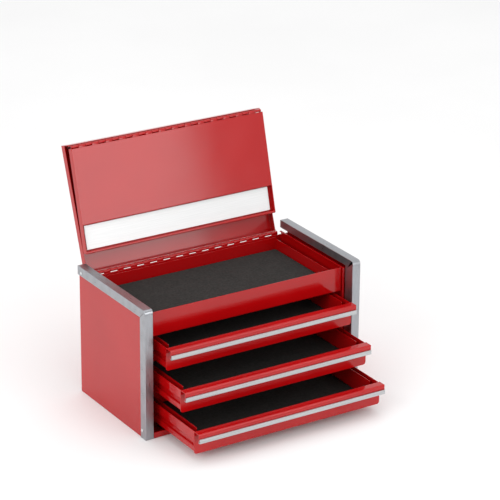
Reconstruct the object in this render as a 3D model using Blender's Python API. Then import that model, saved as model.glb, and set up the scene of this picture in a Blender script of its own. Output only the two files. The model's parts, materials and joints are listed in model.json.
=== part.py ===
"""Desktop tool chest of painted sheet steel.

A cabinet with a fixed top tray and three drawers. The lid swings on a piano hinge along the
back, and a front flap hangs from the lid's skirt on a second piano hinge. Open, the flap folds
up against the lid's underside. Closed, it hangs in front of the drawers.

Metres, +Z up. The origin is the centre of the chest's underside, and -Y is the front.
"""
import math

import bmesh
import bpy
from mathutils import Vector

# ---- Overall size ---------------------------------------------------------------------------
WIDTH = 0.320            # across the outer faces of the edge trims
DEPTH = 0.172            # from the trims' front faces to their rear ends
HEIGHT = 0.176           # to the top faces of the edge trims

# ---- Sheets and clearances ------------------------------------------------------------------
SHEET = 0.0010           # painted steel sheet
THIN_SHEET = 0.0008      # edge trims, hinge leaves and drawer rails
GAP = 0.0003             # between pieces that lie against each other
RUN_GAP = 0.0006         # between a drawer runner and its rail
CUT_MARGIN = 0.003       # how far a cutter passes beyond the sheet that it cuts
ROUND_SIDES = 12         # facets round a pin, rivet or rivet hole

# ---- Edge trims and rivets --------------------------------------------------------------------
TRIM_FACE = 0.012        # width of an edge trim's front and top face
TRIM_OUTER = 0.012       # depth of its flange on the outside of the chest
TRIM_INNER_TOP = 0.0106  # depth of its inner flange along the top
TRIM_INNER_FRONT = 0.0167
TRIM_BEND = 0.0045       # outside radius of its front top corner
TRIM_OVERHANG = 0.0028   # how far it stands out behind the back panel
RIVET_R = 0.0021
RIVET_DOME = 0.0009
RIVET_SHOULDER = 0.8     # the dome's radius half way up, as a share of the head's
RIVET_CROWN = 0.35       # the flat on the dome, as a share of the head's radius
RIVET_SHANK_R = 0.0011
RIVET_HOLE_R = 0.0014
RIVET_HOLE_REACH = 0.004  # to each side of the trim's outer face
TOP_RIVET_FROM_REAR = 0.0098
TOP_RIVET_DOWN = 0.0074
FRONT_RIVET_BACK = 0.0088
FRONT_RIVET_UP = 0.0109

HALF = WIDTH / 2
FRONT = -DEPTH / 2
BACK = DEPTH / 2 - TRIM_OVERHANG          # rear face of the back panel
BACK_IN = BACK - SHEET
OPENING = HALF - TRIM_FACE                # inner faces of the trims
SIDE_OUT = HALF - THIN_SHEET - GAP        # outer faces of the side panels
SIDE_IN = SIDE_OUT - SHEET

# ---- Lid and flap, shut -----------------------------------------------------------------------
LID_SIDE_GAP = 0.004     # lid to trim, at each side
LID_DROP = 0.0014        # lid's top below the trims' top faces
LID_SETBACK = 0.0030     # lid skirt behind the trims' front faces
LID_SKIRT = 0.0236
LID_SIDE = 0.0100
LID_OPEN = math.radians(109.2)
BARREL_R = 0.0020        # outside of a hinge's knuckles
BARREL_STEPS = 6
BARREL_TURN = math.radians(300)
LEAF = 0.0100            # height of a hinge leaf
HINGE_END_GAP = 0.0005   # hinge to the lid's side walls
KNUCKLES = 29
KNUCKLE_SLOT = 0.0006    # how far a slot reaches past the barrel
LID_HINGE_DOWN = 0.0151  # hinge axis below the lid's top
BASE_RAIL = 0.008        # height of the rail at the front of the base
FLAP_FOOT_GAP = 0.002    # flap to the base rail
FLAP_END_GAP = 0.003     # folded flap to the leaf at the back of the lid
FLAP_DEPTH = 0.0080
FLAP_REST_GAP = 0.0005   # folded flap to the rim of the lid's side walls
POCKET_DEPTH = 0.0068
POCKET_SIDE = 0.0002     # pocket to the inner faces of the flap's side walls
POCKET_UP = 0.0034       # pocket above the flap's lower edge
POCKET_TALL = 0.034
PLATE = 0.0010
PLATE_SIDE = 0.0037      # plate to the pocket's ends
PLATE_FOOT = 0.0013
PLATE_HEAD = 0.0013

LID_HALF = OPENING - LID_SIDE_GAP
LID_TOP = HEIGHT - LID_DROP
LID_FRONT_Y = FRONT + LID_SETBACK
HINGE_HALF = LID_HALF - SHEET - HINGE_END_GAP
HINGE_EDGE = BARREL_R                     # sheet edge to hinge axis
PIN_R = BARREL_R - THIN_SHEET - GAP
LID_HINGE_Y = BACK + GAP + BARREL_R
LID_HINGE_Z = LID_TOP - LID_HINGE_DOWN
FLAP_HINGE_Y = LID_FRONT_Y + SHEET + GAP + BARREL_R
FLAP_HINGE_Z = LID_TOP - LID_SKIRT - HINGE_EDGE
FLAP_LONGEST = LID_HINGE_Y - BARREL_R - FLAP_END_GAP - FLAP_HINGE_Y  # that the open lid holds
FLAP_BOTTOM = max(BASE_RAIL + FLAP_FOOT_GAP, FLAP_HINGE_Z - FLAP_LONGEST)
POCKET_HALF = LID_HALF - SHEET - POCKET_SIDE
POCKET_LOW = FLAP_BOTTOM + POCKET_UP
POCKET_HIGH = POCKET_LOW + POCKET_TALL
PLATE_HALF = POCKET_HALF - PLATE_SIDE
PLATE_LOW = POCKET_LOW + PLATE_FOOT
PLATE_HIGH = POCKET_HIGH - PLATE_HEAD


def flap_fold():
    """How far the open flap folds: a right angle, and on until its rim meets the lid's."""
    length = FLAP_HINGE_Z - FLAP_BOTTOM
    behind = FLAP_DEPTH - (FLAP_HINGE_Y - LID_FRONT_Y)
    drop = LID_TOP - LID_SIDE - FLAP_HINGE_Z - FLAP_REST_GAP
    return math.pi / 2 + math.asin(drop / math.hypot(length, behind)) - math.atan(behind / length)


FLAP_FOLD = flap_fold()

# ---- Cabinet and tray -------------------------------------------------------------------------
POST_FLANGE = 0.0035     # how far the liner's front and top flanges turn in
LINER_DROP = 0.0021      # liner below the shut lid's side walls
BACK_DROP = 0.0025       # back panel's top below the lid's hinge axis
BACK_FLANGE = 0.008
TRAY_SETBACK = 0.0197    # tray front panel behind the trims' front faces
TRAY_FRONT_DROP = 0.0002  # tray front below the liner's top
TRAY_FRONT_TALL = 0.0333
TRAY_FRONT_HEM = 0.003
TRAY_FLOOR_UP = 0.0082   # tray floor above the front panel's lower edge
TRAY_WALL = 0.0163       # height of its side walls
TRAY_BACK_WALL = 0.0188
TRAY_SIDE_GAP = 0.0105   # tray to the trims' inner faces
TRAY_BACK_GAP = 0.0027   # tray to the back panel
TRAY_NOTCH = 0.014       # how far the side walls stop short of the front
TRAY_LIP = 0.005         # height of wall left at the front
MAT = 0.0015             # thickness of the tray and drawer mats
MAT_MARGIN = 0.0012      # mat to wall

LINER_OUT = OPENING - GAP
LINER_IN = LINER_OUT - SHEET
LINER_FRONT = FRONT + TRIM_INNER_FRONT + GAP
LINER_TOP = LID_TOP - LID_SIDE - LINER_DROP
BACK_TOP = LID_HINGE_Z - BACK_DROP
TRAY_FRONT_TOP = LINER_TOP - TRAY_FRONT_DROP
TRAY_FRONT_BOTTOM = TRAY_FRONT_TOP - TRAY_FRONT_TALL
TRAY_FLOOR = TRAY_FRONT_BOTTOM + TRAY_FLOOR_UP
TRAY_HALF = OPENING - TRAY_SIDE_GAP
TRAY_FRONT_Y = FRONT + TRAY_SETBACK
TRAY_PAN_FRONT = TRAY_FRONT_Y + SHEET + GAP
TRAY_PAN_BACK = BACK_IN - TRAY_BACK_GAP

# ---- Drawers, numbered from the top -----------------------------------------------------------
DRAWER_COUNT = 3
DRAWER_DROP = 0.0019     # uppermost drawer below the tray's front panel
DRAWER_FOOT_GAP = 0.0025  # lowest drawer above the base rail
DRAWER_SPACE = 0.0115    # between one front and the next
DRAWER_SIDE_GAP = 0.010  # drawer front to the trims' inner faces
DRAWER_CORNER = 0.0035   # radius of a front's lower corners
DRAWER_BACK_GAP = 0.0037  # shut drawer to the back panel
DRAWER_CLOSED = 0.0135   # pull strip behind the trims' front faces when shut
DRAWER_OUT = (0.0401, 0.0751, 0.1075)  # how far each one stands open at rest
PULL_DEPTH = 0.0100      # clear depth behind the pull's face
PULL_HEIGHT = 0.0110
STRIP = 0.0017           # thickness of the pull strip's face
STRIP_HEIGHT = 0.0059
STRIP_RETURN = 0.0032    # height of the strip's fold behind the pull's face
STRIP_SIDE = 0.0005      # strip short of the front at each end
BOX_IN = 0.0075          # box wall to the runner's outer face
BOX_TOP_DROP = 0.0008
BOX_LESS = 0.0047        # box less tall than the front
BOX_NOTCH = 0.008
BOX_LIP = 0.004
BOX_BACK_DROP = 0.004
RUNNER_IN = 0.001        # runner's outer face inside the front's end
RUNNER_DROP = 0.0008     # below the pull's top
GROOVE_DOWN = 0.0175     # centre of the runner's groove below the pull's top
GROOVE = 0.0062
GROOVE_DEPTH = 0.0030
GROOVE_SLOPE = 0.0010
RUNNER_FOOT = 0.009      # width of the runner's flange under the box
RAIL_FLANGE = 0.0036
RAIL_FRONT_GAP = 0.001   # rail behind a shut drawer's front
RAIL_BACK_GAP = 0.002    # rail to the back panel

DRAWER_TOP = TRAY_FRONT_BOTTOM - DRAWER_DROP          # top of the uppermost drawer's pull
DRAWER_PITCH = (DRAWER_TOP - BASE_RAIL - DRAWER_FOOT_GAP + DRAWER_SPACE) / DRAWER_COUNT
DRAWER_FRONT = DRAWER_PITCH - DRAWER_SPACE            # height of a drawer's front
DRAWER_HALF = OPENING - DRAWER_SIDE_GAP
DRAWER_REACH = BACK_IN - FRONT - DRAWER_CLOSED - DRAWER_BACK_GAP  # strip's face to the rear
FRONT_BACK = STRIP + GAP + 2 * SHEET + PULL_DEPTH     # strip's face to the front's rear face
RUNNER_HALF = DRAWER_HALF - RUNNER_IN                 # outer face of a drawer's side runner
BOX_HALF = RUNNER_HALF - BOX_IN
BOX_DEPTH = DRAWER_FRONT - BOX_LESS                   # height of the drawer box
RAIL_FRONT_Y = FRONT + DRAWER_CLOSED + FRONT_BACK + RAIL_FRONT_GAP
RAIL_BACK_Y = BACK_IN - RAIL_BACK_GAP

RED = ("red_paint", (0.42, 0.004, 0.010), 0.28, 0.0)
GREY = ("satin_grey", (0.36, 0.37, 0.38), 0.42, 0.8)
BRIGHT = ("bright_metal", (0.74, 0.75, 0.76), 0.30, 0.9)
PLATE_METAL = ("plate_metal", (0.86, 0.87, 0.88), 0.22, 0.9)
FOAM = ("foam_mat", (0.028, 0.026, 0.025), 0.95, 0.0)
STEEL = ("hinge_steel", (0.55, 0.55, 0.56), 0.35, 0.9)


# ---- Helpers --------------------------------------------------------------------------------
def clear_scene():
    """Remove every object that the scene starts with."""
    for item in list(bpy.data.objects):
        bpy.data.objects.remove(item, do_unlink=True)


def paint(finish):
    """Return the material for a finish, made once."""
    name, colour, roughness, metallic = finish
    found = bpy.data.materials.get(name)
    if found:
        return found
    made = bpy.data.materials.new(name)
    made.use_nodes = True
    shader = made.node_tree.nodes["Principled BSDF"]
    shader.inputs["Base Color"].default_value = (*colour, 1.0)
    shader.inputs["Roughness"].default_value = roughness
    shader.inputs["Metallic"].default_value = metallic
    return made


def piece(name, bm, finish, parent=None, smooth=False):
    """Turn a bmesh into a named object with a material, under an optional empty."""
    mesh = bpy.data.meshes.new(name)
    bm.to_mesh(mesh)
    bm.free()
    made = bpy.data.objects.new(name, mesh)
    bpy.context.scene.collection.objects.link(made)
    if finish:
        mesh.materials.append(paint(finish))
    if smooth:
        mesh.shade_smooth()
        mesh.set_sharp_from_angle(angle=math.radians(35))
    made.parent = parent
    return made


def pivot(name, place, turn=0.0, parent=None):
    """Add an empty on a joint's axis, turned about X."""
    made = bpy.data.objects.new(name, None)
    made.location = place
    made.rotation_euler = (turn, 0.0, 0.0)
    made.parent = parent
    bpy.context.scene.collection.objects.link(made)
    return made


def add_block(bm, low, high):
    """Add a closed box to a bmesh."""
    corners = bmesh.ops.create_cube(bm, size=1.0)["verts"]
    size = Vector(high) - Vector(low)
    middle = (Vector(high) + Vector(low)) / 2
    bmesh.ops.scale(bm, vec=size, verts=corners)
    bmesh.ops.translate(bm, vec=middle, verts=corners)


def block(name, low, high, finish, parent=None):
    """A plain flat piece, such as a sheet or a mat."""
    bm = bmesh.new()
    add_block(bm, low, high)
    return piece(name, bm, finish, parent)


def faces_from(bm, loops):
    """Add faces from lists of points, joining equal points, with all of them facing out."""
    seen = {}
    for loop in loops:
        corners = []
        for point in loop:
            key = tuple(round(value, 7) for value in point)
            if key not in seen:
                seen[key] = bm.verts.new(point)
            corners.append(seen[key])
        bm.faces.new(corners)
    bmesh.ops.recalc_face_normals(bm, faces=bm.faces)


def along_x(name, outline, low, high, finish, parent=None, smooth=False):
    """Extrude a closed (y, z) outline along X."""
    bm = bmesh.new()
    ring = [bm.verts.new((low, y, z)) for y, z in outline]
    face = bm.faces.new(ring)
    grown = bmesh.ops.extrude_face_region(bm, geom=[face])
    tops = [item for item in grown["geom"] if isinstance(item, bmesh.types.BMVert)]
    bmesh.ops.translate(bm, vec=(high - low, 0, 0), verts=tops)
    bmesh.ops.recalc_face_normals(bm, faces=bm.faces)
    return piece(name, bm, finish, parent, smooth)


def along_y(name, outline, low, high, finish, parent=None):
    """Extrude a closed (x, z) outline along Y."""
    bm = bmesh.new()
    ring = [bm.verts.new((x, low, z)) for x, z in outline]
    face = bm.faces.new(ring)
    grown = bmesh.ops.extrude_face_region(bm, geom=[face])
    tops = [item for item in grown["geom"] if isinstance(item, bmesh.types.BMVert)]
    bmesh.ops.translate(bm, vec=(0, high - low, 0), verts=tops)
    bmesh.ops.recalc_face_normals(bm, faces=bm.faces)
    return piece(name, bm, finish, parent)


def rod(name, radius, low, high, finish, parent=None, centre=(0.0, 0.0)):
    """A round bar along X, centred on (y, z)."""
    outline = [
        (centre[0] + radius * math.cos(turn), centre[1] + radius * math.sin(turn))
        for turn in (2 * math.pi * step / ROUND_SIDES for step in range(ROUND_SIDES))
    ]
    return along_x(name, outline, low, high, finish, parent, smooth=True)


def combine(target, tool, operation):
    """Cut a helper out of a piece, or join it on, with an exact Boolean."""
    tool.hide_render = True
    tool.display_type = "WIRE"
    change = target.modifiers.new(operation.title(), "BOOLEAN")
    change.operation = operation
    change.object = tool
    change.solver = "EXACT"


def cut_block(target, low, high, parent=None):
    """Cut a box out of a piece."""
    label = f"{target.name}_cutter_{len(target.modifiers)}"
    combine(target, block(label, low, high, None, parent), "DIFFERENCE")


def pan(name, low, high, face, walls, finish, parent=None):
    """A folded sheet pan: one flat face of the box low-high, with walls folded from its edges.

    face is an axis and side, such as "-z". walls gives each wall's height by its own side,
    such as {"-x": 0.01}. Heights are measured over the outside of the sheet.
    """
    axis = "xyz".index(face[1])
    flat = [index for index in range(3) if index != axis]
    inward = -1.0 if face[0] == "+" else 1.0
    base = high[axis] if face[0] == "+" else low[axis]
    depth = high[axis] - low[axis]
    made = block(name, low, high, finish, parent)

    def bounds(index, step):
        """The box's limits along an axis, moved in by step at a side that has a tall wall."""
        limits = []
        for sign, edge, inside in (("-", low[index], 1.0), ("+", high[index], -1.0)):
            tall = walls.get(sign + "xyz"[index], 0.0) > step
            limits.append(edge + inside * (SHEET if tall else -SHEET))
        return limits

    def cut_above(height, flat_limits):
        near, far = [0.0] * 3, [0.0] * 3
        for index, limits in flat_limits.items():
            near[index], far[index] = limits
        ends = sorted((base + inward * height, base + inward * (depth + SHEET)))
        near[axis], far[axis] = ends
        cut_block(made, near, far, parent)

    cut_above(SHEET, {index: bounds(index, 0.0) for index in flat})
    for side, height in walls.items():
        if height > depth - GAP:
            continue
        own = "xyz".index(side[1])
        other = flat[0] if own == flat[1] else flat[1]
        edge, inside = (low[own], 1.0) if side[0] == "-" else (high[own], -1.0)
        across = sorted((edge - inside * SHEET, edge + inside * 1.5 * SHEET))
        cut_above(height, {own: across, other: bounds(other, height)})
    return made


def mirrored(points, sign):
    """Reflect an (x, z) outline to the side given by sign."""
    return [(sign * x, z) for x, z in points]


# ---- Cabinet --------------------------------------------------------------------------------
def arc(centre, radius, start, end, steps):
    """Points along an arc in a plane, both ends included."""
    points = []
    for step in range(steps + 1):
        turn = start + (end - start) * step / steps
        points.append((centre[0] + radius * math.cos(turn), centre[1] + radius * math.sin(turn)))
    return points


def trim_line(inset):
    """The trim's (y, z) line from its rear end over the bent corner to its foot."""
    radius = TRIM_BEND - inset
    centre = (FRONT + TRIM_BEND, HEIGHT - TRIM_BEND)
    bend = arc(centre, radius, math.pi / 2, math.pi, 4)
    return [(DEPTH / 2, HEIGHT - inset)] + bend + [(FRONT + inset, 0.0)]


def flange_line(top, front):
    """The inner edge of a trim's flange, back from its foot to its rear end."""
    return [(FRONT + front, 0.0), (FRONT + front, HEIGHT - top), (DEPTH / 2, HEIGHT - top)]


def make_trim(name, sign):
    """A channel bent over the side's top and front edges."""
    outer, inner = sign * HALF, sign * OPENING
    outer_in, inner_in = outer - sign * THIN_SHEET, inner + sign * THIN_SHEET
    skin, lining = trim_line(0.0), trim_line(THIN_SHEET)
    wide = flange_line(TRIM_OUTER, TRIM_OUTER)
    narrow = flange_line(TRIM_INNER_TOP, TRIM_INNER_FRONT)

    def at(x, points):
        return [(x, y, z) for y, z in points]

    def strip(points, first, second):
        return [
            [(first, *a), (second, *a), (second, *b), (first, *b)]
            for a, b in zip(points, points[1:])
        ]

    loops = [
        at(outer, skin + wide),
        at(inner, skin + narrow),
        at(outer_in, lining + wide),
        at(inner_in, lining + narrow),
    ]
    loops += strip(skin, outer, inner) + strip(lining, outer_in, inner_in)
    loops += strip(wide, outer, outer_in) + strip(narrow, inner, inner_in)
    for end, flange_end in ((0, -1), (-1, 0)):
        loops.append([
            (outer, *skin[end]), (inner, *skin[end]),
            (inner, *narrow[flange_end]), (inner_in, *narrow[flange_end]),
            (inner_in, *lining[end]), (outer_in, *lining[end]),
            (outer_in, *wide[flange_end]), (outer, *wide[flange_end]),
        ])
    bm = bmesh.new()
    faces_from(bm, loops)
    return piece(name, bm, GREY)


def rivet_places():
    """(y, z) of the two rivets on each side."""
    return {
        "top": (DEPTH / 2 - TOP_RIVET_FROM_REAR, HEIGHT - TOP_RIVET_DOWN),
        "front": (FRONT + FRONT_RIVET_BACK, FRONT_RIVET_UP),
    }


def make_rivet(name, sign, place):
    """A domed rivet through the trim's outer flange and the side panel."""
    face = HALF + GAP
    tail = SIDE_IN - 2 * GAP
    profile = [(tail, RIVET_SHANK_R), (face, RIVET_SHANK_R), (face, RIVET_R),
               (face + RIVET_DOME / 2, RIVET_SHOULDER * RIVET_R),
               (face + RIVET_DOME, RIVET_CROWN * RIVET_R)]
    bm = bmesh.new()
    turns = [2 * math.pi * step / ROUND_SIDES for step in range(ROUND_SIDES)]
    rings = []
    for x, radius in profile:
        rings.append([
            bm.verts.new((sign * x, place[0] + radius * math.cos(turn),
                          place[1] + radius * math.sin(turn)))
            for turn in turns
        ])
    for first, second in zip(rings, rings[1:]):
        for step in range(ROUND_SIDES):
            following = (step + 1) % ROUND_SIDES
            bm.faces.new((first[step], first[following], second[following], second[step]))
    bm.faces.new(rings[0])
    bm.faces.new(rings[-1])
    bmesh.ops.recalc_face_normals(bm, faces=bm.faces)
    return piece(name, bm, BRIGHT, smooth=True)


def make_side(side, sign):
    """One side of the cabinet: outer panel, inner liner, edge trim and its rivets."""
    inside_trim = trim_line(THIN_SHEET + GAP)
    outline = [(BACK, 0.0), (BACK, inside_trim[0][1])] + inside_trim[1:]
    panel = along_x(f"side_panel_{side}", outline, sign * SIDE_IN, sign * SIDE_OUT, RED)
    trim = make_trim(f"edge_trim_{side}", sign)
    liner_low = (LINER_OUT - POST_FLANGE, LINER_FRONT, SHEET + GAP)
    liner_high = (LINER_OUT, BACK_IN - GAP, LINER_TOP)
    if sign < 0:
        liner_low, liner_high = ((-liner_high[0], *liner_low[1:]), (-liner_low[0], *liner_high[1:]))
    face = "+x" if sign > 0 else "-x"
    pan(f"side_liner_{side}", liner_low, liner_high, face,
        {"-y": POST_FLANGE, "+z": POST_FLANGE, "-z": POST_FLANGE}, RED)
    for label, place in rivet_places().items():
        make_rivet(f"trim_rivet_{label}_{side}", sign, place)
        ends = sorted((sign * (HALF - RIVET_HOLE_REACH), sign * (HALF + RIVET_HOLE_REACH)))
        hole = rod(f"rivet_hole_{label}_{side}", RIVET_HOLE_R, *ends, None, centre=place)
        combine(panel, hole, "DIFFERENCE")
        combine(trim, hole, "DIFFERENCE")


def make_cabinet():
    """Sides, back, base, tray and the fixed half of the lid's hinge."""
    for side, sign in (("left", -1), ("right", 1)):
        make_side(side, sign)
    width = SIDE_IN - GAP
    pan("back_panel", (-width, BACK - BACK_FLANGE, 0.0), (width, BACK, BACK_TOP), "+y",
        {"-x": BACK_FLANGE, "+x": BACK_FLANGE}, RED)
    inner = OPENING - GAP
    pan("base_pan", (-inner, FRONT, 0.0), (inner, BACK_IN - GAP, BASE_RAIL), "-z",
        {"-y": BASE_RAIL}, RED)


def make_tray():
    """The fixed top tray: front panel, pan and mat."""
    half = LINER_OUT - POST_FLANGE - GAP
    pan("tray_front", (-half, TRAY_FRONT_Y, TRAY_FRONT_BOTTOM),
        (half, TRAY_FRONT_Y + TRAY_FRONT_HEM * 2, TRAY_FRONT_TOP), "-y",
        {"-z": TRAY_FRONT_HEM * 2}, RED)
    tray = pan("tray_pan", (-TRAY_HALF, TRAY_PAN_FRONT, TRAY_FLOOR),
               (TRAY_HALF, TRAY_PAN_BACK, TRAY_FLOOR + TRAY_BACK_WALL), "-z",
               {"-x": TRAY_WALL, "+x": TRAY_WALL, "-y": TRAY_WALL, "+y": TRAY_BACK_WALL}, RED)
    cut_block(tray,
              (-TRAY_HALF - CUT_MARGIN, TRAY_PAN_FRONT - CUT_MARGIN, TRAY_FLOOR + TRAY_LIP),
              (TRAY_HALF + CUT_MARGIN, TRAY_PAN_FRONT + TRAY_NOTCH,
               TRAY_FLOOR + TRAY_BACK_WALL + CUT_MARGIN))
    inset = SHEET + MAT_MARGIN
    floor = TRAY_FLOOR + SHEET + GAP
    block("tray_mat", (-TRAY_HALF + inset, TRAY_PAN_FRONT + inset, floor),
          (TRAY_HALF - inset, TRAY_PAN_BACK - inset, floor + MAT), FOAM)


# ---- Hinges ---------------------------------------------------------------------------------
def make_leaf(name, upward, first_slot, parent=None, centre=(0.0, 0.0)):
    """A piano-hinge leaf: a plate that curls into a barrel, with every other knuckle cut away.

    The plate lies in front of the axis and runs up or down from it.
    """
    turn = -1.0 if upward else 1.0
    inner = BARREL_R - THIN_SHEET
    start, end = math.pi, math.pi - turn * BARREL_TURN
    outside = arc(centre, BARREL_R, start, end, BARREL_STEPS)
    inside = arc(centre, inner, end, start, BARREL_STEPS)
    far = centre[1] - turn * LEAF
    outline = outside + inside + [(centre[0] - inner, far), (centre[0] - BARREL_R, far)]
    leaf = along_x(name, outline, -HINGE_HALF, HINGE_HALF, STEEL, parent)
    length = 2 * HINGE_HALF / KNUCKLES
    bm = bmesh.new()
    reach = BARREL_R + KNUCKLE_SLOT
    for index in range(first_slot, KNUCKLES, 2):
        low = -HINGE_HALF + index * length - GAP / 2
        high = low + length + GAP
        low = low if index > 0 else low - length
        high = high if index < KNUCKLES - 1 else high + length
        add_block(bm, (low, centre[0] - reach, centre[1] - reach),
                  (high, centre[0] + reach, centre[1] + reach))
    combine(leaf, piece(name + "_slots", bm, None, parent), "DIFFERENCE")
    return leaf


# ---- Lid and flap ---------------------------------------------------------------------------
def make_lid():
    """The lid and the flap that hangs from it, built shut and turned to their rest pose."""
    make_leaf("lid_hinge_body_leaf", False, 1, centre=(LID_HINGE_Y, LID_HINGE_Z))
    pin_axis = pivot("lid_pin_axis", (0.0, LID_HINGE_Y, LID_HINGE_Z))
    rod("lid_hinge_pin", PIN_R, -HINGE_HALF, HINGE_HALF, STEEL, pin_axis)
    lid_axis = pivot("lid_axis", (0.0, LID_HINGE_Y, LID_HINGE_Z), -LID_OPEN)

    def from_lid_axis(x, y, z):
        return (x, y - LID_HINGE_Y, z - LID_HINGE_Z)

    back_wall = LID_TOP - (LID_HINGE_Z + HINGE_EDGE)
    pan("lid_pan", from_lid_axis(-LID_HALF, LID_FRONT_Y, LID_TOP - LID_SKIRT),
        from_lid_axis(LID_HALF, BACK, LID_TOP), "+z",
        {"-x": LID_SIDE, "+x": LID_SIDE, "-y": LID_SKIRT, "+y": back_wall}, RED, lid_axis)
    make_leaf("lid_hinge_lid_leaf", True, 0, lid_axis)
    flap_place = from_lid_axis(0.0, FLAP_HINGE_Y, FLAP_HINGE_Z)
    make_leaf("flap_hinge_lid_leaf", True, 1, lid_axis, centre=flap_place[1:])
    rod("flap_hinge_pin", PIN_R, -HINGE_HALF, HINGE_HALF, STEEL, lid_axis, centre=flap_place[1:])
    flap_axis = pivot("flap_axis", flap_place, FLAP_FOLD, lid_axis)
    make_leaf("flap_hinge_flap_leaf", False, 0, flap_axis)
    make_flap(flap_axis)


def make_flap(parent):
    """The front flap: a shallow pan with a pocket near its free edge, and a plain plate in it."""
    def from_axis(x, y, z):
        return (x, LID_FRONT_Y + y - FLAP_HINGE_Y, z - FLAP_HINGE_Z)

    top = FLAP_HINGE_Z - HINGE_EDGE
    wall = FLAP_DEPTH
    flap = pan("flap_panel", from_axis(-LID_HALF, 0.0, FLAP_BOTTOM),
               from_axis(LID_HALF, FLAP_DEPTH, top), "-y",
               {"-x": wall, "+x": wall, "-z": wall}, RED, parent)
    floor = POCKET_DEPTH
    shell = block("flap_pocket_shell",
                  from_axis(-POCKET_HALF - SHEET, SHEET / 2, POCKET_LOW - SHEET),
                  from_axis(POCKET_HALF + SHEET, floor + SHEET, POCKET_HIGH + SHEET), None, parent)
    combine(flap, shell, "UNION")
    cut_block(flap, from_axis(-POCKET_HALF, -SHEET, POCKET_LOW),
              from_axis(POCKET_HALF, floor, POCKET_HIGH), parent)
    block("flap_plate", from_axis(-PLATE_HALF, floor - GAP - PLATE, PLATE_LOW),
          from_axis(PLATE_HALF, floor - GAP, PLATE_HIGH), PLATE_METAL, parent)


# ---- Drawers --------------------------------------------------------------------------------
def make_drawer_front(name, parent):
    """A pressed front: a lower panel, folded over at the top into a pull with open ends."""
    half = DRAWER_HALF
    face = STRIP + GAP
    back = FRONT_BACK
    back_face = back - SHEET
    lip, low, radius = -PULL_HEIGHT, -DRAWER_FRONT, DRAWER_CORNER
    right = arc((half - radius, low + radius), radius, -math.pi / 2, 0.0, 4)
    left = arc((-half + radius, low + radius), radius, math.pi, 1.5 * math.pi, 4)
    foot = left + right
    crown = face + SHEET

    def upright(y, points):
        return [(x, y, z) for x, z in points]

    loops = [
        upright(back, foot + [(half, 0.0), (-half, 0.0)]),
        upright(back_face, foot + [(half, -SHEET), (-half, -SHEET)]),
        upright(face, [(-half, 0.0), (half, 0.0), (half, lip), (-half, lip)]),
        upright(crown, [(-half, -SHEET), (half, -SHEET), (half, lip), (-half, lip)]),
        [(-half, face, 0.0), (half, face, 0.0), (half, back, 0.0), (-half, back, 0.0)],
        [(-half, crown, -SHEET), (half, crown, -SHEET),
         (half, back_face, -SHEET), (-half, back_face, -SHEET)],
        [(-half, face, lip), (half, face, lip), (half, crown, lip), (-half, crown, lip)],
    ]
    for sign in (-1, 1):
        loops.append([(sign * half, face, lip), (sign * half, face, 0.0), (sign * half, back, 0.0),
                      (sign * half, back, low + radius), (sign * half, back_face, low + radius),
                      (sign * half, back_face, -SHEET), (sign * half, crown, -SHEET),
                      (sign * half, crown, lip)])
    for first, second in zip(foot, foot[1:]):
        loops.append([(first[0], back_face, first[1]), (second[0], back_face, second[1]),
                      (second[0], back, second[1]), (first[0], back, first[1])])
    bm = bmesh.new()
    faces_from(bm, loops)
    return piece(name, bm, RED, parent)


def make_pull_strip(name, parent):
    """A bright channel pressed over the lower edge of the pull."""
    half = DRAWER_HALF - STRIP_SIDE
    face = STRIP + GAP
    low = -PULL_HEIGHT - GAP - THIN_SHEET
    top = low + STRIP_HEIGHT
    behind = face + SHEET + GAP
    outline = [(0.0, low), (behind + THIN_SHEET, low), (behind + THIN_SHEET, low + STRIP_RETURN),
               (behind, low + STRIP_RETURN), (behind, low + THIN_SHEET),
               (STRIP, low + THIN_SHEET), (STRIP, top), (0.0, top)]
    along_x(name, outline, -half, half, BRIGHT, parent)


def make_runner(name, sign, start, parent):
    """A drawer's formed side: a groove for the cabinet's rail, and a foot under the box."""
    out, mid = RUNNER_HALF, GROOVE_DOWN
    deep = out - GROOVE_DEPTH
    shift = SHEET * (math.hypot(GROOVE_DEPTH, GROOVE_SLOPE) - GROOVE_SLOPE) / GROOVE_DEPTH
    foot = -BOX_TOP_DROP - BOX_DEPTH - GAP
    high, low = -mid + GROOVE / 2, -mid - GROOVE / 2
    outside = [
        (out - SHEET, -RUNNER_DROP), (out, -RUNNER_DROP), (out, high + GROOVE_SLOPE),
        (deep, high), (deep, low), (out, low - GROOVE_SLOPE), (out, foot - SHEET),
        (out - RUNNER_FOOT, foot - SHEET),
    ]
    inside = [
        (out - RUNNER_FOOT, foot), (out - SHEET, foot), (out - SHEET, low - GROOVE_SLOPE - shift),
        (deep - SHEET, low - shift), (deep - SHEET, high + shift),
        (out - SHEET, high + GROOVE_SLOPE + shift),
    ]
    return along_y(name, mirrored(outside + inside, sign), start, DRAWER_REACH, RED, parent)


def make_rail(name, sign, height):
    """A fixed rail that a drawer's groove slides on: a channel with two feet on the liner."""
    root = LINER_IN - GAP
    nose = RUNNER_HALF - GROOVE_DEPTH + RUN_GAP
    tall = GROOVE / 2 - RUN_GAP
    middle = height - GROOVE_DOWN
    upper = [(root, tall + RAIL_FLANGE), (root - THIN_SHEET, tall + RAIL_FLANGE),
             (root - THIN_SHEET, tall), (nose, tall)]
    lower = [(nose + THIN_SHEET, tall - THIN_SHEET), (root, tall - THIN_SHEET)]
    outline = (upper + [(x, -z) for x, z in reversed(upper)]
               + [(x, -z) for x, z in reversed(lower)] + lower)
    placed = [(x, middle + z) for x, z in outline]
    return along_y(name, mirrored(placed, sign), RAIL_FRONT_Y, RAIL_BACK_Y, RED)


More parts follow.
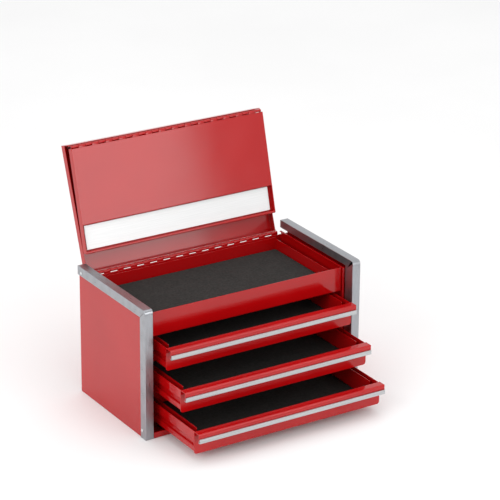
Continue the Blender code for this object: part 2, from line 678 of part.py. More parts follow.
def make_drawer(number):
    """One drawer, with its own origin at the middle of its pull strip's face, level with its top."""
    height = DRAWER_TOP - (number - 1) * DRAWER_PITCH
    place = (0.0, FRONT + DRAWER_CLOSED - DRAWER_OUT[number - 1], height)
    slide = pivot(f"drawer_{number}_slide", place)
    start = FRONT_BACK + GAP
    name = f"drawer_{number}"
    make_drawer_front(f"{name}_front", slide)
    make_pull_strip(f"{name}_pull_strip", slide)
    floor = -BOX_TOP_DROP - BOX_DEPTH
    wall = BOX_DEPTH
    box = pan(f"{name}_box", (-BOX_HALF, start, floor), (BOX_HALF, DRAWER_REACH, -BOX_TOP_DROP),
              "-z", {"-x": wall, "+x": wall, "-y": wall, "+y": wall - BOX_BACK_DROP}, RED, slide)
    cut_block(box, (-BOX_HALF - SHEET, start - SHEET, floor + BOX_LIP),
              (BOX_HALF + SHEET, start + BOX_NOTCH, SHEET), slide)
    inset = SHEET + MAT_MARGIN
    block(f"{name}_mat", (-BOX_HALF + inset, start + inset, floor + SHEET + GAP),
          (BOX_HALF - inset, DRAWER_REACH - inset, floor + SHEET + GAP + MAT), FOAM, slide)
    for side, sign in (("left", -1), ("right", 1)):
        make_runner(f"{name}_runner_{side}", sign, start, slide)
        make_rail(f"rail_{number}_{side}", sign, height)


def main():
    """Build the whole chest."""
    clear_scene()
    make_cabinet()
    make_tray()
    make_lid()
    for number in range(1, DRAWER_COUNT + 1):
        make_drawer(number)


main()
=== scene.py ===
"""Looks for a desktop tool chest of painted sheet steel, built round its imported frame.

The frame gives every place and size. Folded sheets are copied from it and get real bends and
broken edges. Hinges, pins, rivets and mats are modelled here from primitives.
"""
from __future__ import annotations

import json
import logging
import math
from collections.abc import Callable, Sequence
from dataclasses import dataclass, field
from enum import Enum

import bmesh
import bpy
from mathutils import Matrix, Vector

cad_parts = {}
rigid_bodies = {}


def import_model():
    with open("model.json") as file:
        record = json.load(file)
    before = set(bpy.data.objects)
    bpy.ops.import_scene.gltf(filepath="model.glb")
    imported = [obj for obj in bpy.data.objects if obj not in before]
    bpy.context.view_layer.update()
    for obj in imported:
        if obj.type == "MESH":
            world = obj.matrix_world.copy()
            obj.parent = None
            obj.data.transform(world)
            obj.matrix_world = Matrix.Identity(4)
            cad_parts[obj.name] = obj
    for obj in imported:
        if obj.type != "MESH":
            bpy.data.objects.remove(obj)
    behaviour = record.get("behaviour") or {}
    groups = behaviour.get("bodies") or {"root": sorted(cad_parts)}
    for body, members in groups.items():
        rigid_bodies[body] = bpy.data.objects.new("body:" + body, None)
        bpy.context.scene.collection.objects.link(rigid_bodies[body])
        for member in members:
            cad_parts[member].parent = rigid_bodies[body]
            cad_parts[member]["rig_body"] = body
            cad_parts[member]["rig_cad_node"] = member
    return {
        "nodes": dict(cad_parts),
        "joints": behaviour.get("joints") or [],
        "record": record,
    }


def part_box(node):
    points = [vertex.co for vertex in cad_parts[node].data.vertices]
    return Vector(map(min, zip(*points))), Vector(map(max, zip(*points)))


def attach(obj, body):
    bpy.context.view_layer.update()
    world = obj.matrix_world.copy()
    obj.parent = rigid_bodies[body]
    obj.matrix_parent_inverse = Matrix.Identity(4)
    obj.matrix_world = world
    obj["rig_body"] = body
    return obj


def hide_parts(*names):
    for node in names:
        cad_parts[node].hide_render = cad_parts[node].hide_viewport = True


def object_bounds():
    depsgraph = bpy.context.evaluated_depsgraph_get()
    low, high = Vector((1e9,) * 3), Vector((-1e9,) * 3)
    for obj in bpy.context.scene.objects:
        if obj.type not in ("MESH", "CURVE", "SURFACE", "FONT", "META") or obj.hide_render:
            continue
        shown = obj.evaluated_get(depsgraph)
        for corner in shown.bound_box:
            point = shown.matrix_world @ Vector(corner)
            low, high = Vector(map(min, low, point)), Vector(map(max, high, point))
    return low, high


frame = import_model()
cad_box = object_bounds()

log = logging.getLogger("tool_chest")

SIDES = {"left": -1.0, "right": 1.0}
DRAWERS = (1, 2, 3)
BODY_OF = {
    node: body
    for body, nodes in frame["record"]["behaviour"]["bodies"].items()
    for node in nodes
}
JOINTS = {joint["name"]: joint for joint in frame["joints"]}

Colour = tuple[float, float, float]

NOISE_SPAN = (0.3, 0.7)  # where nearly all values of smooth noise lie
MERGE = 0.00001  # corners nearer than this are one corner
FLAT_WITHIN = math.radians(1.0)  # faces that differ by less are one plane
CORNER_ANGLE = math.radians(50.0)  # an edge that turns more than this is a corner


# ---- Finishes ---------------------------------------------------------------------------------
class Recipe:
    """A material's node tree, put together one step at a time."""

    def __init__(self, name: str) -> None:
        """Start a material with an empty Principled shader."""
        self.material = bpy.data.materials.new(name)
        self.material.use_nodes = True
        self.tree = self.material.node_tree
        self.shader = self.tree.nodes["Principled BSDF"]
        self.place = self.add("ShaderNodeTexCoord").outputs["Object"]

    def add(self, kind: str) -> bpy.types.Node:
        """Add a node of a kind."""
        return self.tree.nodes.new(kind)

    def join(self, output: bpy.types.NodeSocket, node: bpy.types.Node, name: str) -> None:
        """Link an output to a node's named input."""
        self.tree.links.new(output, node.inputs[name])

    def fix(self, **values: float) -> None:
        """Set the shader's own sockets, spaces in their names written as underscores."""
        for name, value in values.items():
            self.shader.inputs[name.replace("_", " ")].default_value = value

    def noise(self, per_metre: float, detail: float = 2.0,
              stretch: Sequence[float] = (1.0, 1.0, 1.0)) -> bpy.types.NodeSocket:
        """Smooth noise on the object's own coordinates.

        Args:
            per_metre: Features in each metre.
            detail: Octaves of finer noise.
            stretch: Relative density along each axis.

        Returns:
            The noise's value socket.
        """
        mapping = self.add("ShaderNodeMapping")
        self.join(self.place, mapping, "Vector")
        mapping.inputs["Scale"].default_value = stretch
        texture = self.add("ShaderNodeTexNoise")
        texture.inputs["Scale"].default_value = per_metre
        texture.inputs["Detail"].default_value = detail
        self.join(mapping.outputs["Vector"], texture, "Vector")
        return texture.outputs["Fac"]

    def cells(self, per_metre: float) -> bpy.types.NodeSocket:
        """Rounded cells, as foam has, on the object's own coordinates."""
        texture = self.add("ShaderNodeTexVoronoi")
        texture.inputs["Scale"].default_value = per_metre
        self.join(self.place, texture, "Vector")
        return texture.outputs["Distance"]

    def tint(self, value: bpy.types.NodeSocket, first: Colour, second: Colour,
             spread: tuple[float, float] = (0.35, 0.65)) -> None:
        """Colour the shader between two tones by a value."""
        ramp = self.add("ShaderNodeValToRGB")
        for stop, place, colour in zip(ramp.color_ramp.elements, spread, (first, second)):
            stop.position = place
            stop.color = (*colour, 1.0)
        self.join(value, ramp, "Fac")
        self.join(ramp.outputs["Color"], self.shader, "Base Color")

    def dull(self, value: bpy.types.NodeSocket, low: float, high: float) -> None:
        """Vary the shader's roughness between two values."""
        limits = self.add("ShaderNodeMapRange")
        limits.inputs["From Min"].default_value = NOISE_SPAN[0]
        limits.inputs["From Max"].default_value = NOISE_SPAN[1]
        limits.inputs["To Min"].default_value = low
        limits.inputs["To Max"].default_value = high
        self.join(value, limits, "Value")
        self.join(limits.outputs["Result"], self.shader, "Roughness")

    def raise_by(self, value: bpy.types.NodeSocket, height: float, strength: float) -> None:
        """Add relief to the shader's normal, over any relief that is there already."""
        relief = self.add("ShaderNodeBump")
        relief.inputs["Distance"].default_value = height
        relief.inputs["Strength"].default_value = strength
        self.join(value, relief, "Height")
        normal = self.shader.inputs["Normal"]
        if normal.links:
            self.join(normal.links[0].from_socket, relief, "Normal")
        self.tree.links.new(relief.outputs["Normal"], normal)


@dataclass(frozen=True)
class Enamel:
    """Glossy baked enamel with a faint orange peel."""

    name: str = "red_enamel"
    deep: Colour = (0.405, 0.0020, 0.0030)
    bright: Colour = (0.450, 0.0030, 0.0040)
    gloss: tuple[float, float] = (0.09, 0.13)
    tone_per_metre: float = 9.0
    wear_per_metre: float = 35.0
    peel_per_metre: float = 420.0
    peel_height: float = 0.00004
    peel_strength: float = 0.06

    def mix(self) -> bpy.types.Material:
        """Build the enamel's material."""
        recipe = Recipe(self.name)
        recipe.tint(recipe.noise(self.tone_per_metre), self.deep, self.bright)
        recipe.dull(recipe.noise(self.wear_per_metre, detail=4.0), *self.gloss)
        recipe.raise_by(recipe.noise(self.peel_per_metre, detail=1.0), self.peel_height,
                        self.peel_strength)
        return recipe.material


@dataclass(frozen=True)
class BrushedMetal:
    """Bare or plated metal with fine lines along one axis."""

    name: str
    dark: Colour
    light: Colour
    roughness: tuple[float, float]
    metallic: float
    lines: tuple[float, float, float] = (1.0, 60.0, 60.0)
    lines_per_metre: float = 22.0
    relief: float = 0.25
    grain: float = 0.10
    line_height: float = 0.00005
    grain_height: float = 0.00003
    grain_per_metre: float = 240.0

    def mix(self) -> bpy.types.Material:
        """Build the metal's material."""
        recipe = Recipe(self.name)
        streaks = recipe.noise(self.lines_per_metre, detail=6.0, stretch=self.lines)
        recipe.tint(streaks, self.dark, self.light)
        recipe.dull(streaks, *self.roughness)
        recipe.raise_by(streaks, self.line_height, self.relief)
        recipe.raise_by(recipe.noise(self.grain_per_metre, detail=3.0), self.grain_height,
                        self.grain)
        recipe.fix(Metallic=self.metallic)
        return recipe.material


@dataclass(frozen=True)
class LinerFoam:
    """Thin closed-cell foam, charcoal, with a fine grain."""

    name: str = "liner_foam"
    pit: Colour = (0.016, 0.0155, 0.0145)
    crest: Colour = (0.036, 0.0355, 0.033)
    cells_per_metre: float = 900.0
    cell_height: float = 0.0003
    cell_strength: float = 0.45
    fleck_per_metre: float = 330.0
    fleck_spread: tuple[float, float] = (0.30, 0.72)
    dullness: tuple[float, float] = (0.80, 0.95)
    dull_per_metre: float = 50.0
    swell_per_metre: float = 26.0
    swell_height: float = 0.0008
    swell_strength: float = 0.25
    specular: float = 0.35

    def mix(self) -> bpy.types.Material:
        """Build the foam's material."""
        recipe = Recipe(self.name)
        grain = recipe.cells(self.cells_per_metre)
        recipe.tint(recipe.noise(self.fleck_per_metre, detail=5.0), self.pit, self.crest,
                    self.fleck_spread)
        recipe.dull(recipe.noise(self.dull_per_metre), *self.dullness)
        recipe.raise_by(grain, self.cell_height, self.cell_strength)
        recipe.raise_by(recipe.noise(self.swell_per_metre, detail=3.0), self.swell_height,
                        self.swell_strength)
        recipe.fix(Specular_IOR_Level=self.specular)
        return recipe.material


class Finish(Enum):
    """What each piece is finished in, by the record's material slots."""

    RED = "red_paint"
    TRIM = "edge_trim"
    STRIP = "pull_strip"
    PLATE = "plate"
    RIVET = "rivet"
    PIN = "hinge_pin"
    FOAM = "foam_mat"


RECIPES: dict[Finish, Enamel | BrushedMetal | LinerFoam] = {
    Finish.RED: Enamel(),
    Finish.TRIM: BrushedMetal("satin_trim", (0.33, 0.34, 0.36), (0.39, 0.40, 0.425),
                              (0.27, 0.33), 0.9, lines=(60.0, 4.0, 4.0), relief=0.02,
                              grain=0.01),
    Finish.STRIP: BrushedMetal("bright_strip", (0.45, 0.465, 0.475), (0.54, 0.555, 0.565),
                               (0.26, 0.32), 0.85, relief=0.05, grain=0.02),
    Finish.PLATE: BrushedMetal("white_plate", (0.70, 0.71, 0.71), (0.76, 0.77, 0.77),
                               (0.30, 0.38), 0.25, relief=0.10),
    Finish.RIVET: BrushedMetal("rivet_metal", (0.70, 0.71, 0.72), (0.82, 0.83, 0.84),
                               (0.16, 0.26), 0.95, lines=(1.0, 1.0, 1.0), relief=0.10),
    # The pin's red is far darker than the hinge's own red enamel: painted shade for the dark gaps
    # between the knuckles, where the pin shows.
    Finish.PIN: Enamel("shade_darkened_pin", (0.085, 0.0010, 0.0014), (0.115, 0.0014, 0.0018),
                       (0.30, 0.40)),
    Finish.FOAM: LinerFoam(),
}
mixed: dict[Finish, bpy.types.Material] = {}


def material_for(finish: Finish) -> bpy.types.Material:
    """Return a finish's material, mixed once."""
    if finish not in mixed:
        mixed[finish] = RECIPES[finish].mix()
    return mixed[finish]


# ---- Bench: the steps that every piece goes through ---------------------------------------------
def clear_selection() -> None:
    """Leave edit mode and select nothing."""
    if bpy.context.object and bpy.context.object.mode != "OBJECT":
        bpy.ops.object.mode_set(mode="OBJECT")
    bpy.ops.object.select_all(action="DESELECT")


def take(piece: bpy.types.Object) -> None:
    """Select one object alone and make it active."""
    clear_selection()
    piece.select_set(True)
    bpy.context.view_layer.objects.active = piece


def named(name: str) -> bpy.types.Object:
    """Name the active object and its mesh."""
    piece = bpy.context.object
    piece.name = name
    piece.data.name = name
    return piece


def edit(piece: bpy.types.Object, kind: str = "FACE") -> None:
    """Enter edit mode with nothing selected."""
    take(piece)
    bpy.ops.object.mode_set(mode="EDIT")
    bpy.ops.mesh.select_mode(type=kind)
    bpy.ops.mesh.select_all(action="DESELECT")


def pick(piece: bpy.types.Object, kind: str, test: Callable[..., bool]) -> None:
    """Select verts, edges or faces that pass a test, in edit mode.

    Args:
        piece: The object in edit mode.
        kind: VERT, EDGE or FACE.
        test: Says whether an element is wanted.
    """
    mesh = bmesh.from_edit_mesh(piece.data)
    bpy.ops.mesh.select_mode(type=kind)
    group = {"VERT": mesh.verts, "EDGE": mesh.edges, "FACE": mesh.faces}[kind]
    for element in group:
        element.select_set(bool(test(element)))
    mesh.select_flush_mode()
    bmesh.update_edit_mesh(piece.data)


def modify(piece: bpy.types.Object, kind: str, **settings: object) -> None:
    """Add a modifier to a piece and apply it."""
    take(piece)
    change = piece.modifiers.new(kind.title(), kind)
    for name, value in settings.items():
        setattr(change, name, value)
    bpy.ops.object.modifier_apply(modifier=change.name)


def settle(piece: bpy.types.Object, place: Matrix | None = None) -> None:
    """Put a piece's place into its mesh, so that its object sits at the origin."""
    if place is not None:
        piece.matrix_world = place @ piece.matrix_world
    take(piece)
    bpy.ops.object.transform_apply(location=True, rotation=True, scale=True)


def dress(piece: bpy.types.Object, finish: Finish, *nodes: str) -> bpy.types.Object:
    """Give a finished piece its material, the body that it moves with and the nodes it covers.

    Args:
        piece: The piece, with its place in its mesh.
        finish: What it is finished in.
        nodes: The frame's nodes that it stands for.

    Returns:
        The piece.
    """
    piece.data.materials.clear()
    piece.data.materials.append(material_for(finish))
    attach(piece, BODY_OF[nodes[0]])
    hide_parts(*nodes)
    log.info("%s: %d faces", piece.name, len(piece.data.polygons))
    return piece


def copy_of(node: str, name: str) -> bpy.types.Object:
    """Copy a node's mesh and merge it into whole faces.

    Args:
        node: The frame's node.
        name: The copy's name.

    Returns:
        The copy, free of the frame.
    """
    take(frame["nodes"][node])
    bpy.ops.object.duplicate()
    piece = named(name)
    piece.parent = None
    piece.matrix_world = Matrix.Identity(4)
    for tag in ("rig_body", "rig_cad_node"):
        del piece[tag]
    edit(piece)
    bpy.ops.mesh.select_all(action="SELECT")
    bpy.ops.mesh.remove_doubles(threshold=MERGE)
    bpy.ops.mesh.dissolve_limited(angle_limit=FLAT_WITHIN)
    bpy.ops.object.mode_set(mode="OBJECT")
    return piece


@dataclass(frozen=True)
class EdgeBreak:
    """How the edges of a sheet are rounded: wide at its bends and narrow where it was cut."""

    bend: float = 0.0012
    cut: float = 0.00025
    broad: float = 0.0024
    sharp: float = math.radians(25.0)
    segments: int = 3
    samples: tuple[float, ...] = (0.02, 0.25, 0.5, 0.75, 0.98)
    touching: float = 1e-6

    def depth(self, face: bmesh.types.BMFace, edge: bmesh.types.BMEdge) -> float:
        """Return how far a face reaches in from one of its edges, at its shallowest.

        Args:
            face: The face.
            edge: One of its edges.

        Returns:
            The least depth found along the edge, in metres.
        """
        start, end = (v.co for v in edge.verts)
        along = (end - start).normalized()
        inward = face.normal.cross(along)
        loop = next(loop for loop in face.loops if loop.edge == edge)
        if loop.vert == edge.verts[1]:
            inward = -inward
        least = 1.0
        for part in self.samples:
            foot = start.lerp(end, part)
            for other in face.edges:
                if other == edge:
                    continue
                sides = [(v.co - foot).dot(along) for v in other.verts]
                if sides[0] * sides[1] >= 0.0:
                    continue
                cross = other.verts[0].co.lerp(other.verts[1].co,
                                               sides[0] / (sides[0] - sides[1]))
                reach = (cross - foot).dot(inward)
                if reach > self.touching:
                    least = min(least, reach)
        return least

    def share(self, edge: bmesh.types.BMEdge) -> float:
        """Return an edge's share of the bend's radius."""
        if len(edge.link_faces) != 2 or edge.calc_face_angle(0.0) < self.sharp:
            return 0.0
        broad = all(self.depth(face, edge) > self.broad for face in edge.link_faces)
        return 1.0 if broad and edge.is_convex else self.cut / self.bend

    def apply_to(self, piece: bpy.types.Object) -> bpy.types.Object:
        """Round a piece's edges and smooth its shading."""
        mesh = bmesh.new()
        mesh.from_mesh(piece.data)
        layer = mesh.edges.layers.float.new("bevel_weight_edge")
        for edge in mesh.edges:
            edge[layer] = self.share(edge)
        mesh.to_mesh(piece.data)
        mesh.free()
        modify(piece, "BEVEL", limit_method="WEIGHT", width=self.bend, segments=self.segments,
               use_clamp_overlap=False, miter_outer="MITER_SHARP")
        take(piece)
        bpy.ops.object.shade_smooth_by_angle(angle=CORNER_ANGLE)
        modify(piece, "WEIGHTED_NORMAL", mode="FACE_AREA", weight=100, keep_sharp=True)
        return piece


SHEET_EDGES = EdgeBreak()
SOFT_BEND_EDGES = EdgeBreak(bend=0.0018)
THIN_EDGES = EdgeBreak(bend=0.0007, cut=0.00015)


def painted(node: str, edges: EdgeBreak = SHEET_EDGES,
            finish: Finish = Finish.RED) -> bpy.types.Object:
    """Make the rounded sheet that stands for a node of the frame."""
    piece = edges.apply_to(copy_of(node, f"{node}_sheet"))
    return dress(piece, finish, node)


# ---- Sides --------------------------------------------------------------------------------------
@dataclass
class Rivet:
    """A domed rivet through an edge trim."""

    sides: int = 32
    head_steps: int = 6
    dome_share: float = 0.43
    neck_share: float = 0.52
    brim_share: float = 0.97
    brim_depth: float = 1.3

    def make(self, node: str, sign: float) -> bpy.types.Object:
        """Turn one rivet up from a disc, step by step along its own axis.

        Args:
            node: The frame's rivet.
            sign: Which way it faces along X.

        Returns:
            The dressed rivet.
        """
        low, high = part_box(node)
        centre = (low + high) / 2
        radius = (high.y - low.y) / 2
        tail, face = (low.x, high.x) if sign > 0 else (high.x, low.x)
        dome = self.dome_share * radius
        clear_selection()
        bpy.ops.mesh.primitive_circle_add(
            vertices=self.sides, radius=self.neck_share * radius, fill_type="NGON",
            location=(tail, centre.y, centre.z), rotation=(0.0, sign * math.pi / 2, 0.0))
        piece = named(f"{node}_head")
        settle(piece)
        under = face - sign * dome * self.brim_depth
        steps = [(under, self.neck_share), (under, self.brim_share), (face - sign * dome, 1.0)]
        for step in range(1, self.head_steps + 1):
            turn = math.pi / 2 * step / (self.head_steps + 0.5)
            steps.append((face - sign * dome * (1 - math.sin(turn)), math.cos(turn)))
        edit(piece)
        bpy.ops.mesh.select_all(action="SELECT")
        x, share = tail, self.neck_share
        for next_x, next_share in steps:
            bpy.ops.mesh.extrude_region_move(
                TRANSFORM_OT_translate={"value": (next_x - x, 0.0, 0.0)})
            ratio = next_share / share
            bpy.ops.transform.resize(value=(1.0, ratio, ratio),
                                     center_override=(next_x, centre.y, centre.z))
            x, share = next_x, next_share
        bpy.ops.mesh.select_all(action="SELECT")
        bpy.ops.mesh.normals_make_consistent(inside=False)
        bpy.ops.object.mode_set(mode="OBJECT")
        bpy.ops.object.shade_smooth_by_angle(angle=math.radians(40.0))
        return dress(piece, Finish.RIVET, node)


@dataclass
class EdgeTrim:
    """A satin metal channel over a side's top and front edges, mitred at its corner."""

    flange: float = 0.012
    bend: float = 0.0045
    seam: float = 0.00035
    lap_down: float = 0.0062
    lap_depth: float = 0.00022
    seam_inset: float = 0.0012
    seam_share: float = 0.86
    edges: EdgeBreak = field(default_factory=lambda: EdgeBreak(bend=0.0009, cut=0.00018))

    def cut(self, piece: bpy.types.Object, size: Vector, centre: Vector, turn: float) -> None:
        """Cut a slim block out of the trim."""
        clear_selection()
        bpy.ops.mesh.primitive_cube_add(size=1.0, location=centre, rotation=(turn, 0.0, 0.0))
        tool = named("seam_cutter")
        tool.scale = size
        settle(tool)
        modify(piece, "BOOLEAN", operation="DIFFERENCE", object=tool, solver="EXACT")
        bpy.data.objects.remove(tool)

    def make(self, side: str) -> bpy.types.Object:
        """Copy the trim, open its mitre seams, mark its lap and round its edges."""
        node = f"edge_trim_{side}"
        low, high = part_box(node)
        piece = copy_of(node, f"{node}_channel")
        middle = (low + high) / 2
        corner = Vector((middle.x, low.y + self.flange, high.z - self.flange))
        outside = Vector((middle.x, low.y + 0.3 * self.bend, high.z - 0.3 * self.bend))
        half_way = (corner + outside) / 2
        reach = (corner - outside).length
        self.cut(piece, Vector((2 * (high.x - low.x), self.seam, self.seam_share * reach)),
                 half_way + Vector((0.0, 1.0, -1.0)) * self.seam_inset, math.pi / 4)
        self.cut(piece, Vector((high.x - low.x + 0.002, 2 * self.lap_depth, self.seam)),
                 Vector((middle.x, low.y, high.z - self.lap_down)), 0.0)
        self.edges.apply_to(piece)
        return dress(piece, Finish.TRIM, node)


@dataclass
class CabinetSide:
    """One side: outer sheet, liner, edge trim and two rivets."""

    side: str

    def make(self) -> None:
        """Build the side's pieces."""
        painted(f"side_panel_{self.side}", THIN_EDGES)
        painted(f"side_liner_{self.side}")
        EdgeTrim().make(self.side)
        for place in ("top", "front"):
            Rivet().make(f"trim_rivet_{place}_{self.side}", SIDES[self.side])


# ---- Mats ---------------------------------------------------------------------------------------
@dataclass
class Mat:
    """A thin foam liner that lies in a tray or drawer, with rounded corners and a soft surface."""

    node: str
    corner: float = 0.002
    edge: float = 0.00035
    cell: float = 0.004
    ripple: float = 0.00010
    corner_pull: float = 0.29

    def make(self) -> bpy.types.Object:
        """Lay the mat out as a fine grid, round it, and let its top lie slightly uneven."""
        low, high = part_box(self.node)
        size = high - low
        clear_selection()
        bpy.ops.mesh.primitive_grid_add(
            x_subdivisions=round(size.x / self.cell), y_subdivisions=round(size.y / self.cell),
            size=1.0, location=((low.x + high.x) / 2, (low.y + high.y) / 2, high.z))
        piece = named(f"{self.node}_liner")
        piece.scale = (size.x, size.y, 1.0)
        settle(piece)
        edit(piece, "VERT")
        for x in (low.x, high.x):
            for y in (low.y, high.y):
                pick(piece, "VERT", lambda v, x=x, y=y: abs(v.co.x - x) + abs(v.co.y - y) < 1e-5)
                pull = self.corner * self.corner_pull
                inward = (math.copysign(pull, (low.x + high.x) / 2 - x),
                          math.copysign(pull, (low.y + high.y) / 2 - y), 0.0)
                bpy.ops.transform.translate(value=inward)
        bpy.ops.object.mode_set(mode="OBJECT")
        for vertex in piece.data.vertices:
            wave = math.sin(61.0 * vertex.co.x) * math.cos(83.0 * vertex.co.y)
            ripple = math.sin(170.0 * vertex.co.x + 2.0) * math.sin(143.0 * vertex.co.y)
            vertex.co.z -= self.ripple * (1.0 + 0.6 * wave + 0.4 * ripple)
        modify(piece, "SOLIDIFY", thickness=size.z - 3 * self.ripple, offset=-1.0)
        modify(piece, "BEVEL", limit_method="ANGLE", angle_limit=CORNER_ANGLE,
               width=self.edge, segments=2, use_clamp_overlap=False)
        take(piece)
        bpy.ops.object.shade_smooth_by_angle(angle=CORNER_ANGLE)
        dress(piece, Finish.FOAM, self.node)
        return piece


# ---- Piano hinges -------------------------------------------------------------------------------
@dataclass
class PianoHinge:
    """Two leaves that curl round one pin, knuckle by knuckle."""

    joint: str
    radius: float = 0.0020
    thickness: float = 0.0008
    leaf: float = 0.0100
    slot: float = 0.0023
    knuckles: int = 29
    side_gap: float = 0.00022
    curl: float = math.radians(312.0)
    curl_steps: int = 16
    eased: float = 0.00012
    pin_sides: int = 24
    pin_eased: float = 0.4

    def axis(self) -> Vector:
        """Return where the hinge's axis is at rest."""
        return Vector(JOINTS[self.joint]["pos_m"])

    def make_leaf(self, node: str, upward: bool, first_slot: int,
                  turn: float) -> bpy.types.Object:
        """Curl one leaf from a strip of sheet.

        Args:
            node: The frame's leaf.
            upward: Whether the plate runs up from the axis when the chest is shut.
            first_slot: The first knuckle that the other leaf has.
            turn: How far the leaf is turned about X from its shut place.

        Returns:
            The dressed leaf.
        """
        low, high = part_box(node)
        length = high.x - low.x
        up = 1.0 if upward else -1.0
        clear_selection()
        bpy.ops.mesh.primitive_grid_add(x_subdivisions=self.knuckles, y_subdivisions=1, size=1.0)
        piece = named(f"{node}_curled")
        piece.scale = (length, self.leaf - self.slot, 1.0)
        piece.rotation_euler = (math.pi / 2, 0.0, 0.0)
        piece.location = (0.0, -self.radius, up * (self.leaf + self.slot) / 2)
        settle(piece)
        pitch = length / self.knuckles
        root = up * self.slot

        def is_knuckle(edge: bmesh.types.BMEdge) -> bool:
            """Whether an edge is the root of one of this leaf's knuckles."""
            ends = [v.co for v in edge.verts]
            if any(abs(end.z - root) > 1e-6 for end in ends):
                return False
            column = int((sum(end.x for end in ends) / 2 + length / 2) / pitch)
            return (column - first_slot) % 2 != 0 or column < first_slot

        edit(piece, "EDGE")
        for ahead, shift in ((True, -1.0), (False, 1.0)):
            edge_of = self.knuckle_ends(length, first_slot, ahead)
            pick(piece, "VERT", lambda v: any(abs(v.co.x - x) < 1e-5 for x in edge_of))
            bpy.ops.transform.translate(value=(shift * self.side_gap, 0.0, 0.0))
        pick(piece, "EDGE", is_knuckle)
        bpy.ops.mesh.extrude_region_move(
            TRANSFORM_OT_translate={"value": (0.0, 0.0, -up * self.slot)})
        bpy.ops.mesh.spin(steps=self.curl_steps, angle=self.curl, center=(0.0, 0.0, 0.0),
                          axis=(-up, 0.0, 0.0), dupli=False)
        bpy.ops.mesh.select_all(action="SELECT")
        bpy.ops.mesh.remove_doubles(threshold=0.000001)
        bpy.ops.mesh.normals_make_consistent(inside=False)
        bpy.ops.object.mode_set(mode="OBJECT")
        plate = max(piece.data.polygons, key=lambda face: abs(face.center.z))
        if plate.normal.y > 0.0:
            edit(piece)
            bpy.ops.mesh.select_all(action="SELECT")
            bpy.ops.mesh.flip_normals()
            bpy.ops.object.mode_set(mode="OBJECT")
        modify(piece, "SOLIDIFY", thickness=self.thickness, offset=-1.0, use_even_offset=True)
        modify(piece, "BEVEL", limit_method="ANGLE", angle_limit=CORNER_ANGLE,
               width=self.eased, segments=2, use_clamp_overlap=False)
        take(piece)
        bpy.ops.object.shade_smooth_by_angle(angle=math.radians(46.0))
        place = Matrix.Translation(self.axis()) @ Matrix.Rotation(turn, 4, "X")
        settle(piece, place)
        return dress(piece, Finish.RED, node)

    def knuckle_ends(self, length: float, first_slot: int, ahead: bool) -> list[float]:
        """Return the places along X where this leaf's knuckles end, or where they start."""
        pitch = length / self.knuckles
        own = [n for n in range(self.knuckles) if (n - first_slot) % 2 != 0]
        places = [n + 1 if ahead else n for n in own]
        return [-length / 2 + n * pitch for n in places if 0 < n < self.knuckles]

    def make_pin(self, node: str) -> bpy.types.Object:
        """Draw the pin as a round bar with eased ends."""
        low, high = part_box(node)
        radius = (high.y - low.y) / 2
        clear_selection()
        bpy.ops.mesh.primitive_cylinder_add(
            vertices=self.pin_sides, radius=radius, depth=high.x - low.x, location=(low + high) / 2,
            rotation=(0.0, math.pi / 2, 0.0))
        piece = named(f"{node}_bar")
        settle(piece)
        modify(piece, "BEVEL", limit_method="ANGLE", angle_limit=CORNER_ANGLE,
               width=self.pin_eased * radius, segments=3)
        take(piece)
        bpy.ops.object.shade_smooth_by_angle(angle=math.radians(35.0))
        return dress(piece, Finish.PIN, node)


# ---- Sub-assemblies -----------------------------------------------------------------------------
@dataclass
class Cabinet:
    """The fixed part: two sides, back, base, rails and the top tray."""

    def make(self) -> None:
        """Build the cabinet's pieces."""
        for side in SIDES:
            CabinetSide(side).make()
            for number in DRAWERS:
                painted(f"rail_{number}_{side}", THIN_EDGES)
        for node in ("back_panel", "base_pan", "tray_pan"):
            painted(node)
        painted("tray_front", SOFT_BEND_EDGES)
        Mat("tray_mat").make()


@dataclass
class Lid:
    """The lid, its flap, and the two piano hinges that carry them."""

    plate_edges: EdgeBreak = field(default_factory=lambda: EdgeBreak(bend=0.0003, cut=0.00015))

    def open_turn(self) -> float:
        """Return how far the lid is turned from shut at rest, in radians about X."""
        reach = sum(JOINTS[name]["range_deg"][1] for name in ("lid_hinge", "lid_hinge_last_part"))
        return -math.radians(reach)

    def flap_turn(self) -> float:
        """Return how far the flap is turned from shut at rest, in radians about X."""
        return self.open_turn() + math.radians(JOINTS["flap_hinge"]["range_deg"][1])

    def make(self) -> None:
        """Build the lid's pieces."""
        painted("lid_pan", SOFT_BEND_EDGES)
        painted("flap_panel")
        painted("flap_plate", self.plate_edges, Finish.PLATE)
        rear = PianoHinge("lid_hinge")
        rear.make_leaf("lid_hinge_body_leaf", False, 1, 0.0)
        rear.make_leaf("lid_hinge_lid_leaf", True, 0, self.open_turn())
        rear.make_pin("lid_hinge_pin")
        front = PianoHinge("flap_hinge")
        front.make_leaf("flap_hinge_lid_leaf", True, 1, self.open_turn())
        front.make_leaf("flap_hinge_flap_leaf", False, 0, self.flap_turn())
        front.make_pin("flap_hinge_pin")


@dataclass
class Drawer:
    """One drawer: pressed front, bright pull strip, box, runners and mat."""

    number: int
    strip_edges: EdgeBreak = field(default_factory=lambda: EdgeBreak(bend=0.0006, cut=0.00015))

    def make(self) -> None:
        """Build the drawer's pieces."""
        name = f"drawer_{self.number}"
        painted(f"{name}_front", SOFT_BEND_EDGES)
        painted(f"{name}_box")
        for side in SIDES:
            painted(f"{name}_runner_{side}")
        painted(f"{name}_pull_strip", self.strip_edges, Finish.STRIP)
        Mat(f"{name}_mat").make()


# ---- Studio -------------------------------------------------------------------------------------
@dataclass(frozen=True)
class Softbox:
    """One large soft lamp."""

    name: str
    place: tuple[float, float, float]
    size: tuple[float, float]
    watts: float


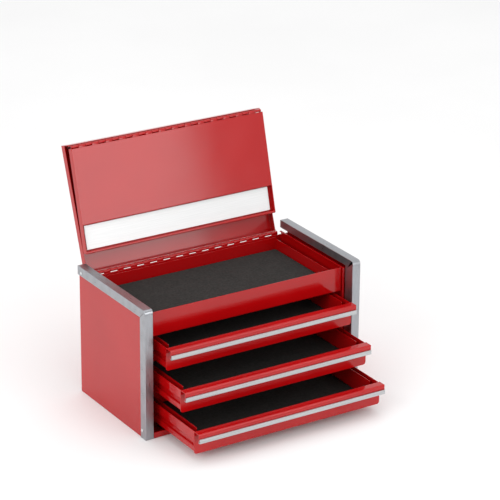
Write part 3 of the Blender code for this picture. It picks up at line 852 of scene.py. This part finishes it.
@dataclass
class Studio:
    """Pale floor, soft light and the camera."""

    camera_place: tuple[float, float, float] = (-1.4928, -2.4278, 1.3558)
    camera_turn_deg: tuple[float, float, float] = (67.8186, -0.4728, -32.1748)
    lens: float = 173.35
    sensor: float = 36.0
    floor_size: float = 12.0
    floor_shade: float = 0.93
    sky: float = 0.93
    floor_gap: float = 0.0002
    floor_mottle: float = 0.02
    aim: tuple[float, float, float] = (0.0, 0.0, 0.13)
    lamps: tuple[Softbox, ...] = (
        Softbox("key_softbox", (-1.9, -0.7, 1.3), (1.2, 1.2), 12.0),
        Softbox("top_softbox", (0.1, -0.1, 2.0), (1.8, 1.4), 6.0),
        Softbox("front_card", (0.63, -1.85, 0.55), (0.9, 0.8), 6.5),
    )

    def make_floor(self) -> None:
        """Lay a wide plain floor just under the chest."""
        clear_selection()
        bpy.ops.mesh.primitive_plane_add(size=self.floor_size,
                                         location=(0.0, 0.0, cad_box[0].z - self.floor_gap))
        floor = named("floor")
        settle(floor)
        recipe = Recipe("floor_paper")
        pale = (self.floor_shade,) * 3
        lighter = (self.floor_shade + self.floor_mottle,) * 3
        recipe.tint(recipe.noise(3.0), pale, lighter)
        recipe.fix(Roughness=0.9, Specular_IOR_Level=0.1)
        floor.data.materials.append(recipe.material)

    def make_lights(self) -> None:
        """Hang the softboxes round the chest and light the sky evenly."""
        for lamp in self.lamps:
            data = bpy.data.lights.new(lamp.name, "AREA")
            data.shape = "RECTANGLE"
            data.size, data.size_y = lamp.size
            data.energy = lamp.watts
            light = bpy.data.objects.new(lamp.name, data)
            light.location = lamp.place
            towards = Vector(self.aim) - light.location
            light.rotation_euler = towards.to_track_quat("-Z", "Y").to_euler()
            bpy.context.scene.collection.objects.link(light)
        world = bpy.data.worlds.new("studio")
        world.use_nodes = True
        backdrop = world.node_tree.nodes["Background"]
        backdrop.inputs["Color"].default_value = (1.0, 1.0, 1.0, 1.0)
        backdrop.inputs["Strength"].default_value = self.sky
        bpy.context.scene.world = world

    def make_camera(self) -> None:
        """Stand the camera up."""
        data = bpy.data.cameras.new("camera")
        data.lens = self.lens
        data.sensor_width = self.sensor
        camera = bpy.data.objects.new("camera", data)
        camera.location = self.camera_place
        camera.rotation_euler = [math.radians(turn) for turn in self.camera_turn_deg]
        bpy.context.scene.collection.objects.link(camera)
        bpy.context.scene.camera = camera

    def make(self) -> None:
        """Set the studio up."""
        self.make_floor()
        self.make_lights()
        self.make_camera()
        bpy.context.scene.view_settings.view_transform = "Standard"


def main() -> None:
    """Build every sub-assembly and the studio, in order."""
    logging.basicConfig(level=logging.INFO, format="%(message)s")
    Cabinet().make()
    Lid().make()
    for number in DRAWERS:
        Drawer(number).make()
    Studio().make()
    clear_selection()


if __name__ == "__main__":
    main()
